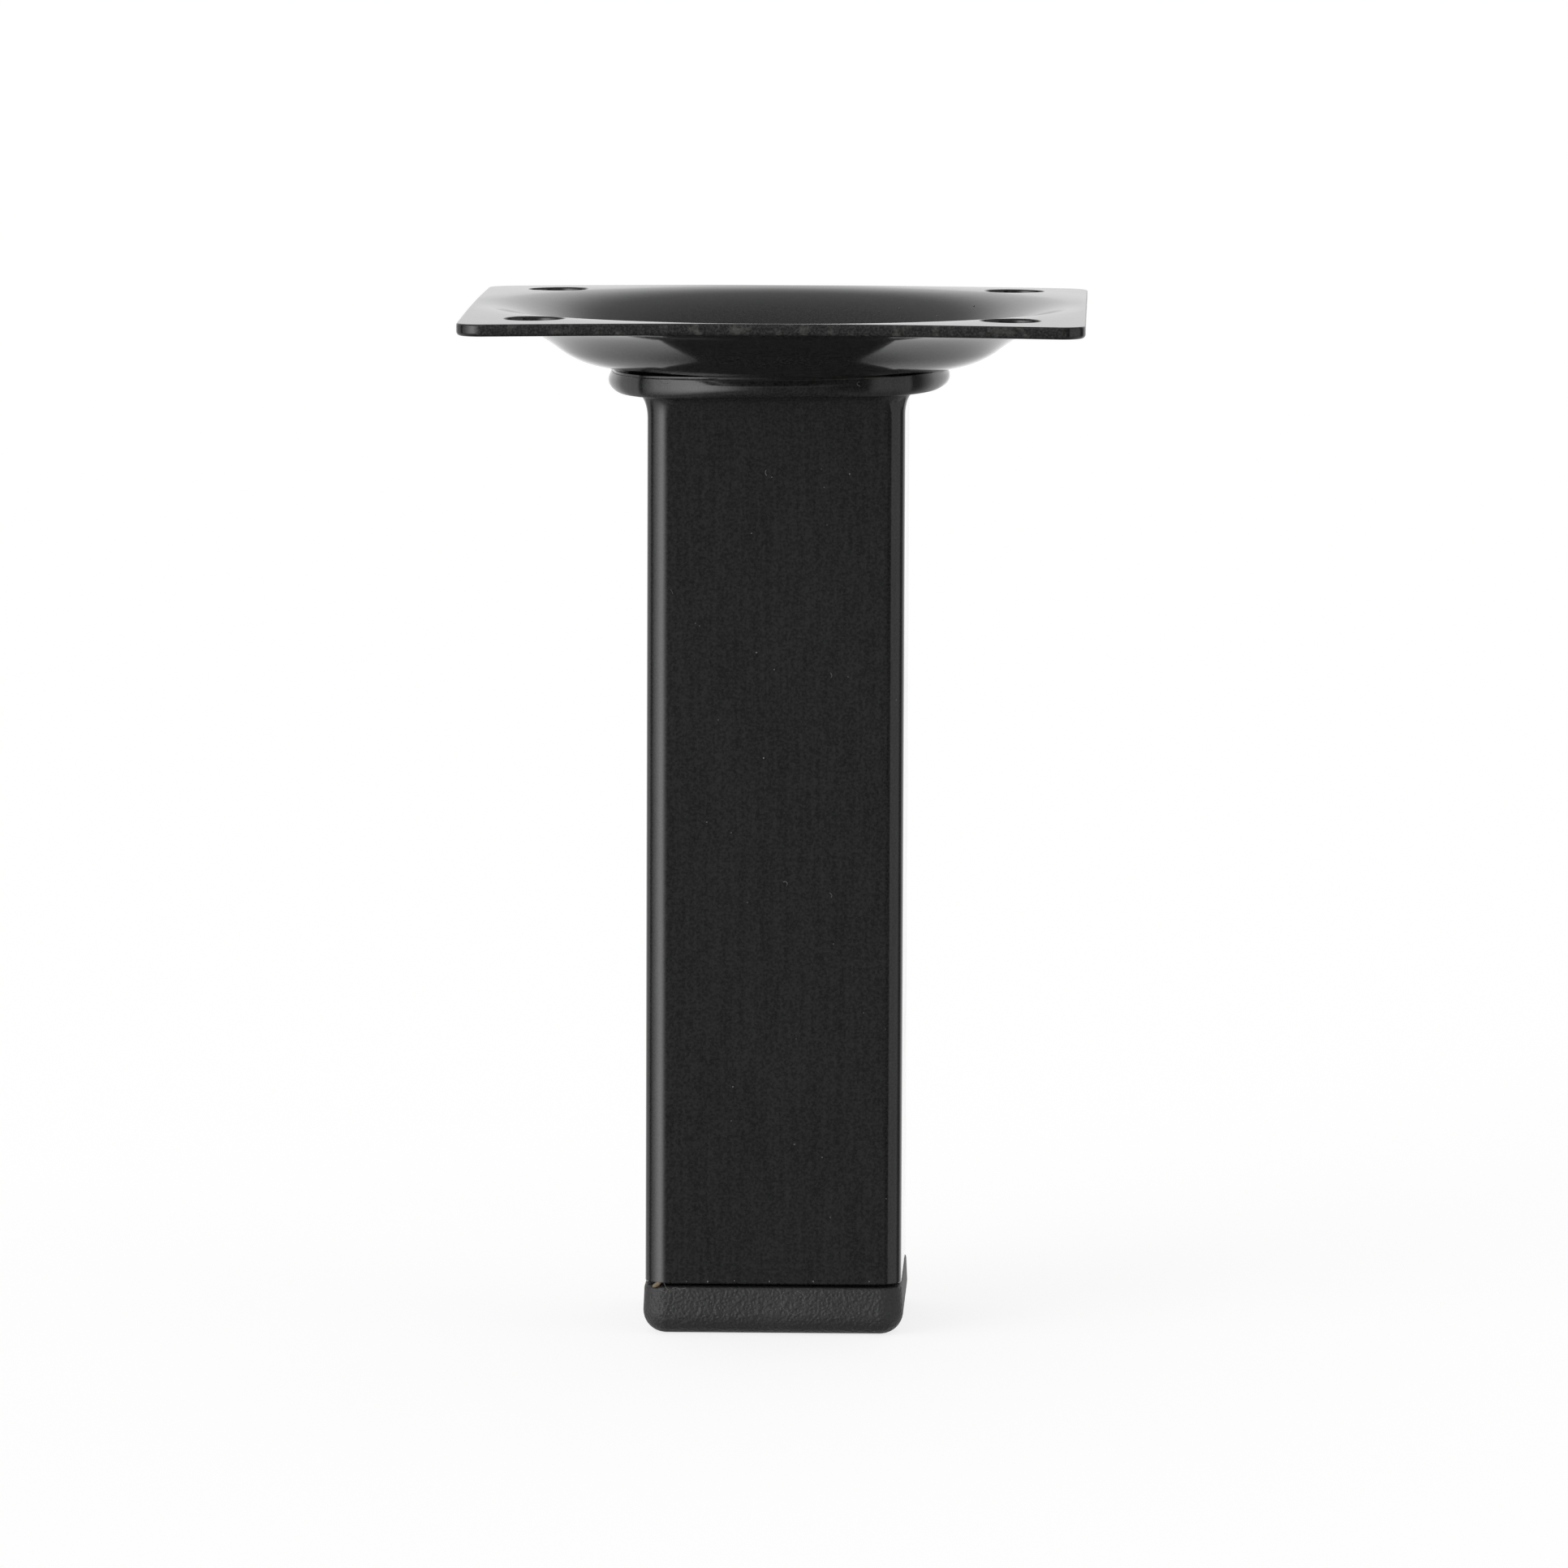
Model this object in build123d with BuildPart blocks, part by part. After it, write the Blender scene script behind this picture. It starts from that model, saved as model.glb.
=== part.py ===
from build123d import *
import math
import os

# A furniture leg: a square steel tube swaged through the dish of a pressed
# mounting plate, with a plastic glide in its lower end.
# Lengths in millimetres, +Z up, origin on the floor under the tube's axis.

# Overall height, from the floor to the mounting face
height = 100.0

# Square tube
tube_side = 25.0
tube_wall = 1.2
tube_corner = 2.2

# Bead: the tube's wall folded out flat under the dish floor.
# It stands out further at the middle of a side than at a corner.
bead_reach = 4.2
bead_corner_reach = 1.25
bead_upper_run = 0.35
bead_upper_drop = 0.7
bead_lower_chamfer = 0.65
bead_root_chamfer = 0.5
fold_mouth = 1.0
fold_depth = 1.4

# Lip: the tube's end flared out over the dish floor
lip_reach = 1.9
lip_corner_reach = 0.05
lip_edge_chamfer = 0.45
lip_mouth_chamfer = 0.6
chamfer_angle = 45

# Mounting plate, pressed from one sheet
sheet = 1.2
plate_corner = 2.5
plate_edge_chamfer = 0.2
flange_width = 4.75
hole_diameter = 5.8
hole_inset = 7.2

# Dish pressed into the plate around the tube. Its wall meets the flange in a
# soft bend that takes up this reach of both, in this number of turns.
dish_depth = 4.9
dish_floor_margin = 6.35
dish_wall_run = 6.4
dish_rim_reach = 4.1
dish_rim_turns = 4
dish_floor_bend = 7.3
window_clearance = 0.1

# Foot cap: head, and a hollow ribbed insert
cap_head = 4.9
cap_overhang = 0.2
cap_bottom_round = 2.2
cap_top_chamfer = 0.35
cap_floor = 2.4
seat_gap = 0.35
insert_length = 14.0
insert_lead_in = 1.0
core_wall = 1.5
core_bevel = 1.5
cavity_bevel = 0.8
rib_count = 3
rib_reach = 1.0
rib_land = 0.6
rib_slope = 0.7
rib_bevel = 2.5

# Levels that follow from these sizes
dish_floor_top = height - dish_depth
dish_floor_underside = dish_floor_top - sheet
tube_end = cap_head + seat_gap
bead_thickness = 2 * tube_wall
bead_underside = dish_floor_underside - bead_thickness
lip_top = dish_floor_top + tube_wall

# Radii and sides that follow from these sizes
dish_floor_radius = tube_side / 2 + dish_floor_margin
dish_mouth_radius = dish_floor_radius + dish_wall_run
plate_side = 2 * (dish_mouth_radius + flange_width)
hole_pitch = plate_side - 2 * hole_inset
bore_side = tube_side - 2 * tube_wall
bore_corner = tube_corner - tube_wall
core_side = bore_side - 2 * rib_reach


def corner_span(side, corner):
    """Distance from the axis to the outside of a rounded square's corner."""
    return (side / 2 - corner) * math.sqrt(2) + corner


def swaged_corner(reach, corner_reach):
    """Corner radius of the tube's outline after it is spread outwards.

    The middle of each side moves out by reach, the corners by corner_reach.
    """
    half = tube_side / 2 + reach
    span = corner_span(tube_side, tube_corner) + corner_reach
    return (half * math.sqrt(2) - span) / (math.sqrt(2) - 1)


def rim_corners():
    """Corners of the plate's section where the dish's wall turns into the flange.

    The flats between them lie evenly around one soft bend.
    """
    wall_slope = math.atan2(dish_depth, dish_wall_run)
    turn = wall_slope / dish_rim_turns
    bend_radius = dish_rim_reach / (math.tan(wall_slope / 2) - math.tan(turn / 2))
    flat = 2 * bend_radius * math.tan(turn / 2)
    radius, level = dish_mouth_radius + dish_rim_reach, height
    corners = [(radius, level)]
    for number in range(1, dish_rim_turns):
        radius -= flat * math.cos(number * turn)
        level -= flat * math.sin(number * turn)
        corners.insert(0, (radius, level))
    return corners


def at_level(shapes, level):
    """Those faces or edges whose middle lies at a level."""
    return shapes.filter_by_position(Axis.Z, level - 0.001, level + 0.001)


os.makedirs("parts", exist_ok=True)

# Mounting plate: the pressed section turned about the axis, then trimmed
# to a square
with BuildPart() as mounting_plate:
    with BuildSketch(Plane.XZ) as pressed_section:
        with BuildLine():
            FilletPolyline(
                (0, dish_floor_top),
                (dish_floor_radius, dish_floor_top),
                *rim_corners(),
                (plate_side, height),
                radius=(dish_floor_bend,) + (0,) * dish_rim_turns,
            )
            offset(amount=sheet, side=Side.RIGHT)
        make_face()
    revolve(axis=Axis.Z)
    with BuildSketch(Plane.XY.offset(dish_floor_underside)) as blank_outline:
        RectangleRounded(plate_side, plate_side, plate_corner)
    extrude(amount=dish_depth + sheet, mode=Mode.INTERSECT)
    flat_faces = mounting_plate.faces().filter_by(Axis.Z).sort_by(Axis.Z)
    blank_edges = flat_faces[-1].outer_wire().edges() + flat_faces[-2].outer_wire().edges()
    chamfer(blank_edges, length=min(plate_edge_chamfer, 0.4 * sheet))
    with BuildSketch(Plane.XY.offset(dish_floor_underside)) as tube_window:
        RectangleRounded(
            tube_side + 2 * window_clearance,
            tube_side + 2 * window_clearance,
            tube_corner + window_clearance,
        )
    extrude(amount=sheet + dish_floor_bend, mode=Mode.SUBTRACT)
    with Locations((0, 0, height)):
        with GridLocations(hole_pitch, hole_pitch, 2, 2):
            Hole(radius=hole_diameter / 2)

# Tube: bead first, then the wall through it, the lip over the dish floor
# and the bore
with BuildPart() as tube:
    bead_side = tube_side + 2 * bead_reach
    with BuildSketch(Plane.XY.offset(bead_underside)) as bead_outline:
        RectangleRounded(bead_side, bead_side, swaged_corner(bead_reach, bead_corner_reach))
    extrude(amount=bead_thickness)
    bead_seat = tube.faces().sort_by(Axis.Z)[-1]
    chamfer(bead_seat.edges(), length=bead_upper_run, length2=bead_upper_drop, reference=bead_seat)
    chamfer(tube.faces().sort_by(Axis.Z)[0].edges(), length=bead_lower_chamfer)

    with BuildSketch(Plane.XY.offset(tube_end)) as tube_outline:
        RectangleRounded(tube_side, tube_side, tube_corner)
    extrude(amount=lip_top - tube_end)
    chamfer(at_level(tube.edges(Select.LAST), bead_underside), length=bead_root_chamfer)

    # The lip's edge is cut back above and below, clear of the dish's bend
    lip_edge = min(lip_edge_chamfer, 0.4 * tube_wall)
    with BuildSketch(Plane.XY.offset(dish_floor_top + lip_edge)) as lip_outline:
        lip_side = tube_side + 2 * lip_reach
        RectangleRounded(lip_side, lip_side, swaged_corner(lip_reach, lip_corner_reach))
    extrude(amount=-lip_edge, taper=chamfer_angle)
    extrude(lip_outline.sketch, amount=tube_wall - lip_edge)
    chamfer(tube.faces().sort_by(Axis.Z)[-1].edges(), length=lip_edge)

    with BuildSketch(Plane.XY.offset(tube_end)) as bore_outline:
        RectangleRounded(bore_side, bore_side, bore_corner)
    extrude(amount=lip_top - tube_end, mode=Mode.SUBTRACT)
    chamfer(tube.faces().sort_by(Axis.Z)[-1].inner_wires()[0].edges(), length=lip_mouth_chamfer)

    # The fold leaves a crease inside the bore, level with the bead, that
    # narrows to a line
    fold_taper = math.degrees(math.atan2(fold_depth, fold_mouth))
    with BuildSketch(Plane.XY.offset(bead_underside + bead_thickness / 2)) as fold_outline:
        fold_side = bore_side + 2 * fold_depth
        RectangleRounded(fold_side, fold_side, bore_corner + fold_depth)
    extrude(amount=fold_mouth, both=True, taper=fold_taper, mode=Mode.SUBTRACT)

# Foot cap: a rounded head under the tube, and a hollow insert whose ribs
# bear on the bore
with BuildPart() as foot_cap:
    with BuildSketch() as head_outline:
        cap_side = tube_side + 2 * cap_overhang
        RectangleRounded(cap_side, cap_side, tube_corner + cap_overhang)
    extrude(amount=cap_head)
    fillet(foot_cap.faces().sort_by(Axis.Z)[0].edges(), radius=cap_bottom_round)
    chamfer(foot_cap.faces().sort_by(Axis.Z)[-1].edges(), length=cap_top_chamfer)

    with BuildSketch(Plane.XY.offset(cap_head)) as core_outline:
        Rectangle(core_side, core_side)
        chamfer(core_outline.vertices(), length=core_bevel)
    extrude(amount=insert_length)
    chamfer(foot_cap.faces().sort_by(Axis.Z)[-1].edges(), length=insert_lead_in)

    # Each rib has a flat land and a slope that eases it into the tube
    rib_pitch = (insert_length - insert_lead_in) / rib_count
    rib_taper = math.degrees(math.atan2(rib_reach, rib_slope))
    for number in range(1, rib_count + 1):
        rib_level = cap_head + number * rib_pitch - rib_land - rib_slope
        for level, rise, taper in ((rib_level, rib_land, 0), (rib_level + rib_land, rib_slope, rib_taper)):
            with BuildSketch(Plane.XY.offset(level)) as rib_outline:
                Rectangle(bore_side, bore_side)
                chamfer(rib_outline.vertices(), length=rib_bevel)
            extrude(amount=rise, taper=taper)

    with BuildSketch(Plane.XY.offset(cap_floor)) as cavity_outline:
        Rectangle(core_side - 2 * core_wall, core_side - 2 * core_wall)
        chamfer(cavity_outline.vertices(), length=cavity_bevel)
    extrude(amount=cap_head + insert_length - cap_floor, mode=Mode.SUBTRACT)

mounting_plate.part.label = "mounting_plate"
tube.part.label = "tube"
foot_cap.part.label = "foot_cap"
export_step(mounting_plate.part, "parts/mounting_plate.step")
export_step(tube.part, "parts/tube.step")
export_step(foot_cap.part, "parts/foot_cap.step")

print("plate side", plate_side, "hole pitch", hole_pitch)
for piece in (mounting_plate, tube, foot_cap):
    print(piece.part.label, "volume", round(piece.part.volume), "mm3")
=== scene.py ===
# %% [markdown]
# # A glossy black furniture leg
#
# The real object is a short square steel tube, swaged through a pressed steel
# plate, with a plastic glide in its foot. Everything metal is powder coated in
# glossy black, so most of what the eye sees is reflection: the rounds, bends
# and folds have to be true, because they steer every highlight.
#
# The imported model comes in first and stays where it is. It is the measure for
# each piece that is modelled below.

# %% Load the frame
import math
import random

import bmesh
import bpy
from mathutils import Matrix, Vector


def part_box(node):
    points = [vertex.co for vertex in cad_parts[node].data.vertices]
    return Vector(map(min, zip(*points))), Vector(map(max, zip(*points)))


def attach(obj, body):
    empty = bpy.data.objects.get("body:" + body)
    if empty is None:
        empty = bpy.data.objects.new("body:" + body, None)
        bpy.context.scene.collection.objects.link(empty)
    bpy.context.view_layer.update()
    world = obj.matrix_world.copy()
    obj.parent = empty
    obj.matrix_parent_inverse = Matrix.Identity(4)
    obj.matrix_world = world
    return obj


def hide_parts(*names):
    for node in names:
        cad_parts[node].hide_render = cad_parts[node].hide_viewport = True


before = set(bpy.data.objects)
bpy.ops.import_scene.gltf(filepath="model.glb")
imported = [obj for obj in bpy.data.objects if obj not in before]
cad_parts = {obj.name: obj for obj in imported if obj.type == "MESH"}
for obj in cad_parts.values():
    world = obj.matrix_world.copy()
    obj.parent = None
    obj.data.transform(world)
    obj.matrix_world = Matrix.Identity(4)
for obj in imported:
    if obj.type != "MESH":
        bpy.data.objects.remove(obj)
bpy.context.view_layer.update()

MM = 0.001
CLOSE = 0.002
EASE = 0.02

# %% [markdown]
# ## Sizes
#
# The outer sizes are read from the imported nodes, so a piece always fills the
# place of the node that it stands for. What the nodes' boxes can't tell, such
# as the sheet's thickness or a corner's radius, is named here, in millimetres.
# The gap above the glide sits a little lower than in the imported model, as the
# photograph shows it, so the tube runs down a little further.

# %% Sizes of the leg
DISH_DEPTH = 4.9
TUBE_OVERRUN = 0.2
plate_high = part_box("mounting_plate")[1]
tube_low, tube_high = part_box("tube")
cap_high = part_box("foot_cap")[1]

height = plate_high.z / MM
plate_half = plate_high.x / MM
sheet = 1.2
dish_floor = height - DISH_DEPTH
dish_underside = dish_floor - sheet
plate_corner = 2.5
tube_half = 12.5
tube_corner = 2.2
wall = 1.2
bore_half = tube_half - wall
tube_end = tube_low.z / MM - TUBE_OVERRUN
lip_top = tube_high.z / MM
bead_half = tube_high.x / MM
cap_half = 12.7
cap_head = 4.75
insert_top = cap_high.z / MM
print("height", height, "plate", 2 * plate_half, "bead", 2 * bead_half, "tube end at", tube_end)

# %% [markdown]
# ## Outlines, and the skin between them
#
# Each piece here is a stack of rounded squares, whose size and corner change
# with the height. By hand, this is a plane whose four corners are rounded with
# a vertex bevel. The next outline is added above it, and a bridge between the
# two makes the skin. Every outline of a piece has the same number of points,
# so that a bridge joins them one to one.
#
# A bridge needs to know which way is up, so no two neighbours lie at quite the
# same level: a face that looks flat rises by the small step EASE. The pieces
# are also drawn large, a unit to the millimetre, and brought down to metres at
# the end, because the edit tools take steps of a hundredth of a millimetre for
# no step at all.

# %% Outlines, and bridges between them
WHOLE_SIDE = 0.9


def start_piece(name):
    """Add an empty mesh and go into edit mode, with nothing else selected."""
    bpy.ops.object.select_all(action="DESELECT")
    bpy.ops.object.add(type="MESH")
    piece = bpy.context.active_object
    piece.name = name
    piece.data.name = name
    bpy.ops.object.mode_set(mode="EDIT")
    bpy.ops.mesh.select_mode(type="VERT")
    return piece


def outline_gap(point, half, corner):
    """Distance from a point to a rounded square's outline, seen from above."""
    across = abs(point.x) - (half - corner)
    along = abs(point.y) - (half - corner)
    outside = math.hypot(max(across, 0), max(along, 0))
    return abs(outside + min(max(across, along), 0) - corner)


def pick_outline(half, corner, level):
    """Select the points of one outline, besides what is selected already."""
    mesh = bmesh.from_edit_mesh(bpy.context.edit_object.data)
    for vertex in mesh.verts:
        if abs(vertex.co.z - level) < CLOSE and outline_gap(vertex.co, half, corner) < CLOSE:
            vertex.select = True
    mesh.select_flush(True)
    bmesh.update_edit_mesh(bpy.context.edit_object.data)


def add_outline(half, corner, level, corner_points, side_points=0):
    """Draw a square outline at a level, with rounded corners and divided sides."""
    bpy.ops.mesh.select_all(action="DESELECT")
    bpy.ops.mesh.primitive_plane_add(size=2 * half, location=(0, 0, level))
    bpy.ops.mesh.bevel(offset=corner, segments=corner_points - 1, affect="VERTICES")
    bpy.ops.mesh.delete(type="ONLY_FACE")
    if side_points:
        bpy.ops.mesh.select_all(action="DESELECT")
        mesh = bmesh.from_edit_mesh(bpy.context.edit_object.data)
        for edge in mesh.edges:
            start, end = (vertex.co for vertex in edge.verts)
            long_side = (start - end).length > WHOLE_SIDE * 2 * (half - corner)
            if long_side and abs(start.z - level) < CLOSE and abs(end.z - level) < CLOSE:
                edge.select_set(True)
        bmesh.update_edit_mesh(bpy.context.edit_object.data)
        bpy.ops.mesh.subdivide(number_cuts=side_points)


def bridge(first, second):
    """Stretch a skin between two outlines, each given as half, corner, level."""
    bpy.ops.mesh.select_all(action="DESELECT")
    pick_outline(*first)
    pick_outline(*second)
    bpy.ops.mesh.bridge_edge_loops()


def close_outline(outline):
    """Put one flat face on an open outline."""
    bpy.ops.mesh.select_all(action="DESELECT")
    pick_outline(*outline)
    bpy.ops.mesh.edge_face_add()


def finish_piece(piece, sharp_degrees):
    """Face everything outwards, bring it to size, and smooth it with weighted normals."""
    bpy.ops.mesh.select_all(action="SELECT")
    bpy.ops.mesh.remove_doubles(threshold=CLOSE)
    bpy.ops.mesh.normals_make_consistent(inside=False)
    bpy.ops.object.mode_set(mode="OBJECT")
    piece.scale = (MM, MM, MM)
    bpy.ops.object.transform_apply(location=True, rotation=True, scale=True)
    bpy.ops.object.shade_smooth_by_angle(angle=math.radians(sharp_degrees))
    bpy.ops.object.modifier_add(type="WEIGHTED_NORMAL")
    piece.modifiers[-1].keep_sharp = True
    bpy.ops.object.modifier_apply(modifier=piece.modifiers[-1].name)
    shell = bmesh.new()
    shell.from_mesh(piece.data)
    open_edges = sum(len(edge.link_faces) != 2 for edge in shell.edges)
    volume = shell.calc_volume(signed=True) / MM ** 3
    shell.free()
    print(piece.name, "faces", len(piece.data.polygons), "open edges", open_edges,
          "volume", round(volume), "mm3")


def bend(centre, radius, start_degrees, end_degrees, steps):
    """Points (out, up) along an arc in the section of a piece."""
    points = []
    for step in range(steps + 1):
        angle = math.radians(start_degrees + (end_degrees - start_degrees) * step / steps)
        points.append((centre[0] + radius * math.cos(angle), centre[1] + radius * math.sin(angle)))
    return points


# %% [markdown]
# ## The tube
#
# The leg is square steel tube. At its top the wall is folded out into a bead
# that the plate rests on, the end goes through a window in the plate, and is
# spread over it into a lip, as a rivet is. The skin goes up the outside, round
# bead and lip, and down the bore, and closes at the cut end.
#
# The bead stands out 4 mm in the middle of a side but little at the corners,
# because the wall can't stretch that far. So its corners get rounder as it
# reaches out, until it is nearly a circle. In section it leaves the wall in a
# gentle curve, the root, turns round its nose, and ends in a shoulder that is
# pressed against the dish.

# %% Shape of the bead and the lip
BEAD_DROP = 7.2
BEAD_MIDDLE = height - BEAD_DROP
BEAD_NOSE = 1.03
BEAD_LEAN = 0.85
BEAD_BULGE = 22.7
FLANK_START = 20
NOSE_STEPS = 14
ROOT_STEPS = 8
SHOULDER = [(0.25, 0.8), (0.28, 0.86), (0.34, 0.89), (0.4, 0.9), (0.43, 0.92)]
SHOULDER_END = 0.45
ROOT_RUN = 0.9
ROOT_RISE = 2.0
bead_reach = bead_half - tube_half
bead_bottom = BEAD_MIDDLE - BEAD_NOSE

LIP_REACH = 1.9
LIP_ROUND = 0.5
MOUTH_ROUND = 0.6
CUT_ROUND = 0.12
CREASE_HALF = 1.0
CREASE_DEPTH = 1.4
print("the bead reaches", round(bead_reach, 2), "mm and ends", round(bead_bottom, 2), "mm above the floor")


def spread_corner(reach, corner_share):
    """Corner radius once the sides have moved out by reach, and the corners by a share of it."""
    return tube_corner + reach * (math.sqrt(2) - corner_share) / (math.sqrt(2) - 1)


def at_tube(out, up, corner_share=1.0):
    """An outline whose sides stand out from the tube's by a distance, at a level."""
    return (tube_half + out, spread_corner(out, corner_share), up)


# %% The tube's outlines, from the cut end up and down the bore again
LIP_STEPS = 5
MOUTH_STEPS = 6
BEAD_SHARE = 0.298
LIP_SHARE = 0.026
nose_centre = (bead_reach - BEAD_NOSE, BEAD_MIDDLE + EASE)
root_bend = bend((0, -1), 1, 180, 90, ROOT_STEPS)
root = [(ROOT_RUN + out * ROOT_RUN, bead_bottom + up * ROOT_RISE) for out, up in root_bend]
nose = bend(nose_centre, BEAD_NOSE, -90, FLANK_START, NOSE_STEPS)
shoulder = [(bead_reach - inset, BEAD_MIDDLE + rise) for inset, rise in SHOULDER]
shoulder.append((bead_reach - SHOULDER_END, dish_underside + EASE))

bead_outlines = [at_tube(out, up, BEAD_SHARE) for out, up in root + nose + shoulder]
tube_outlines = [at_tube(-CUT_ROUND, tube_end), at_tube(0, tube_end + CUT_ROUND)]
tube_outlines += bead_outlines
tube_outlines.append(at_tube(0, dish_underside + 2 * EASE))
tube_outlines.append(at_tube(0, dish_floor))

lip_low_centre = (LIP_REACH - LIP_ROUND, dish_floor + LIP_ROUND + EASE)
lip_high_centre = (LIP_REACH - LIP_ROUND, lip_top - LIP_ROUND)
lip = bend(lip_low_centre, LIP_ROUND, -90, 0, LIP_STEPS) + bend(lip_high_centre, LIP_ROUND, 0, 90, LIP_STEPS)
tube_outlines += [at_tube(out, up, LIP_SHARE) for out, up in lip]
mouth_centre = (MOUTH_ROUND - wall, lip_top - MOUTH_ROUND - EASE)
mouth = bend(mouth_centre, MOUTH_ROUND, 90, 180, MOUTH_STEPS)
tube_outlines += [at_tube(out, up) for out, up in mouth]

tube_outlines.append(at_tube(-wall, BEAD_MIDDLE + CREASE_HALF))
tube_outlines.append(at_tube(-wall + CREASE_DEPTH, BEAD_MIDDLE))
tube_outlines.append(at_tube(-wall, BEAD_MIDDLE - CREASE_HALF))
tube_outlines.append(at_tube(-wall, tube_end + CUT_ROUND))
tube_outlines.append(at_tube(CUT_ROUND - wall, tube_end + EASE))
print("outlines of the tube", len(tube_outlines))

# %% Bridge them into the tube
TUBE_CORNER_POINTS = 17
TUBE_SIDE_POINTS = 3
tube = start_piece("swaged_tube")
for outline in tube_outlines:
    add_outline(*outline, TUBE_CORNER_POINTS, TUBE_SIDE_POINTS)
for lower, upper in zip(tube_outlines, tube_outlines[1:] + tube_outlines[:1]):
    bridge(lower, upper)
print("points in the tube", len(bmesh.from_edit_mesh(tube.data).verts))

# %% [markdown]
# So far the bead's outlines are rounded squares, with flat sides. On the real
# one each side bulges between the corners, as one shallow arc. Each point is
# moved along its line from the axis, by the difference between the two shapes
# there and in step with how far its outline stands out.

# %% The two shapes, by the angle from the middle of a side
full_corner = spread_corner(bead_reach, BEAD_SHARE)


def square_radius(turn):
    """Distance from the axis to the full bead's rounded square, by the angle from a side's middle."""
    side = bead_half - full_corner
    if bead_half * math.tan(turn) < side:
        return bead_half / math.cos(turn)
    slant = side * (math.cos(turn) + math.sin(turn))
    return slant + math.sqrt(slant ** 2 - 2 * side ** 2 + full_corner ** 2)


def bulged_radius(turn):
    """The same distance to the arc of the bulged side."""
    behind = BEAD_BULGE - bead_half
    return math.sqrt(BEAD_BULGE ** 2 - (behind * math.sin(turn)) ** 2) - behind * math.cos(turn)


for degrees in (0, 15, 30, 45):
    gain = bulged_radius(math.radians(degrees)) - square_radius(math.radians(degrees))
    print("at", degrees, "degrees the bulge moves the bead's edge by", round(gain, 2), "mm")

# %% Bulge the bead's sides, and leave its points selected
bpy.ops.mesh.select_all(action="DESELECT")
for outline in bead_outlines:
    pick_outline(*outline)
mesh = bmesh.from_edit_mesh(tube.data)
for half, corner, level in bead_outlines:
    share = (half - tube_half) / bead_reach
    for vertex in mesh.verts:
        if abs(vertex.co.z - level) < CLOSE and outline_gap(vertex.co, half, corner) < CLOSE:
            turn = math.atan2(abs(vertex.co.y), abs(vertex.co.x))
            turn = min(turn, math.pi / 2 - turn)
            radius = math.hypot(vertex.co.x, vertex.co.y)
            grown = 1 + share * (bulged_radius(turn) - square_radius(turn)) / radius
            vertex.co.x *= grown
            vertex.co.y *= grown
bmesh.update_edit_mesh(tube.data)
print("points selected in the bead", sum(vertex.select for vertex in mesh.verts))

# %% [markdown]
# The fold isn't quite square to the tube: its left side hangs a little lower.
# The bead's points are still selected, so they are turned together. Under the
# front right corner the wall has a small nick, where it buckled as it folded.
# What would stand up into the plate is pressed flat against the underside of
# the dish.

# %% Lean the bead, press in the nick, and press the top flat
NICK_PRESS = 0.12
NICK_REACH = 0.5
NICK_TOP = 0.3
NICK_FOOT = 0.8
METAL_SHARP = 40
bpy.ops.transform.rotate(
    value=math.radians(BEAD_LEAN), orient_axis="Y", center_override=(0, 0, BEAD_MIDDLE)
)
mesh = bmesh.from_edit_mesh(tube.data)
corner_column = tube_half - tube_corner * (1 - math.sqrt(0.5))
for vertex in mesh.verts:
    off_corner = max(abs(vertex.co.x - corner_column), abs(vertex.co.y + corner_column))
    if off_corner < NICK_REACH and bead_bottom - NICK_FOOT < vertex.co.z < bead_bottom - NICK_TOP:
        vertex.co.x -= NICK_PRESS
        vertex.co.y += NICK_PRESS
leaned = [vertex for vertex in mesh.verts if vertex.select]
print("left of the bead at", round(min(leaned, key=lambda v: v.co.x).co.z, 2), "mm, right at",
      round(max(leaned, key=lambda v: v.co.x).co.z, 2), "mm")
for vertex in mesh.verts:
    outer_skin = outline_gap(vertex.co, bore_half, tube_corner - wall) > wall / 2
    if outer_skin and vertex.co.z < dish_floor - CLOSE:
        vertex.co.z = min(vertex.co.z, dish_underside)
bmesh.update_edit_mesh(tube.data)
finish_piece(tube, METAL_SHARP)
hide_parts("tube")
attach(tube, "root")

# %% [markdown]
# ## The mounting plate
#
# One sheet of steel, 1.2 mm thick, with a round dish pressed into it and a
# square window in the dish for the tube. The skin starts at the middle of the
# dish's floor, goes out over the bend, the wall and the soft rim to the square
# edge, and comes back underneath. Both bends are concentric through the sheet,
# as a press leaves them.
#
# The edge was sheared: its upper corner is crisp, the lower one is drawn round.

# %% The pressed section
FLOOR_RADIUS = 18.85
MOUTH_RADIUS = 25.25
FLOOR_BEND = 7.3
RIM_BEND = 15.9
LAST_CIRCLE = 29.3
BEND_STEPS = 12
wall_slope = math.atan2(height - dish_floor, MOUTH_RADIUS - FLOOR_RADIUS)
slope_degrees = math.degrees(wall_slope)
floor_flat = FLOOR_RADIUS - FLOOR_BEND * math.tan(wall_slope / 2)
rim_end = MOUTH_RADIUS + RIM_BEND * math.tan(wall_slope / 2)
last_degrees = math.degrees(math.asin((rim_end - LAST_CIRCLE) / RIM_BEND))


def dish_circles(depth):
    """Circles up the dish, on its upper face or at a depth in the sheet."""
    floor_centre = (floor_flat, dish_floor + FLOOR_BEND)
    rim_centre = (rim_end, height - RIM_BEND)
    points = bend(floor_centre, FLOOR_BEND + depth, -90, slope_degrees - 90, BEND_STEPS)
    points += bend(rim_centre, RIM_BEND - depth, 90 + slope_degrees, 90 + last_degrees, BEND_STEPS)
    return [(radius, radius, level) for radius, level in points]


print("wall slope", round(slope_degrees, 1), "degrees, flat floor out to", round(floor_flat, 2), "mm")
print("the soft rim runs out into the flange at", round(rim_end, 2), "mm from the axis")

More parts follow.
